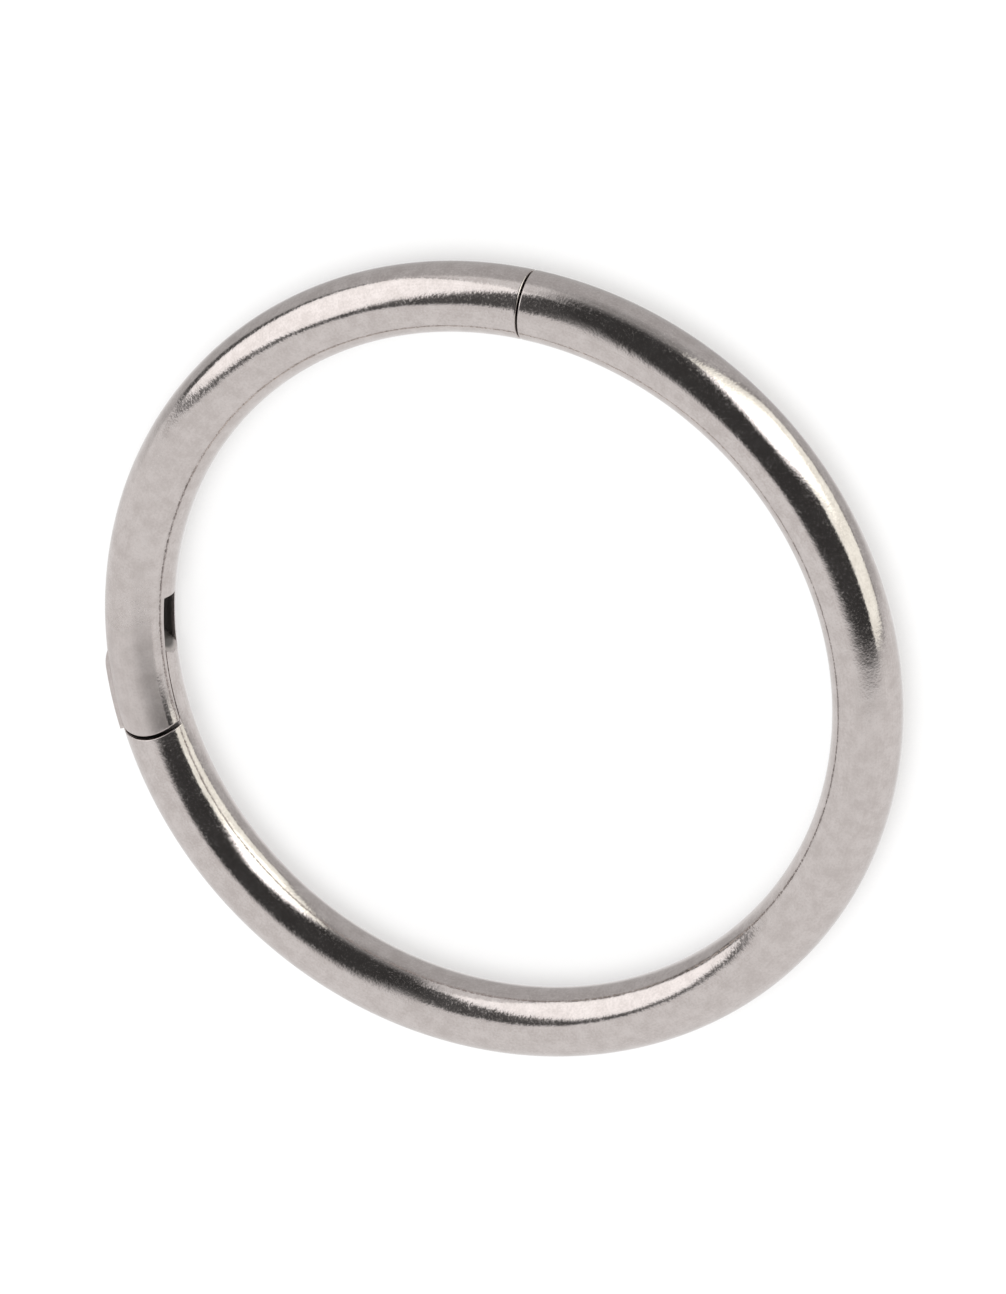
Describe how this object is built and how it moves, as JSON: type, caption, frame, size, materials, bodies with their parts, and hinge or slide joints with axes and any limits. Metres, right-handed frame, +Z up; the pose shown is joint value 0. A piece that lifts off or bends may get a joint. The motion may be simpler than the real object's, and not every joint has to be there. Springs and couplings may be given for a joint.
{
  "type": "clicker ring",
  "caption": "Plain round-wire piercing hoop with a hinged segment that swings outward and clicks shut on a shallow dome catch; polished grey metal.",
  "frame": {"origin": "on the ring's axis, level with the lowest line of the wire", "axes": "+Z up along the ring's axis, +X to the middle of the hinged segment"},
  "size_m": [0.0144, 0.0144, 0.0012],
  "materials": {
    "polished_metal": "polished bare metal, most likely titanium, with fine satin speckle",
    "pin_metal": "drawn wire, end filed flush"
  },
  "bodies": {
    "hoop": {"ring_body": "polished_metal"},
    "segment": {"clicker_segment": "polished_metal", "hinge_pin": "pin_metal"}
  },
  "joints": [
    {"name": "segment_hinge", "type": "hinge", "parent": "hoop", "child": "segment", "pos_m": [0.00455, 0.00478, 0.0006], "axis": [0, 0, 1], "range_deg": [0, 85]}
  ]
}
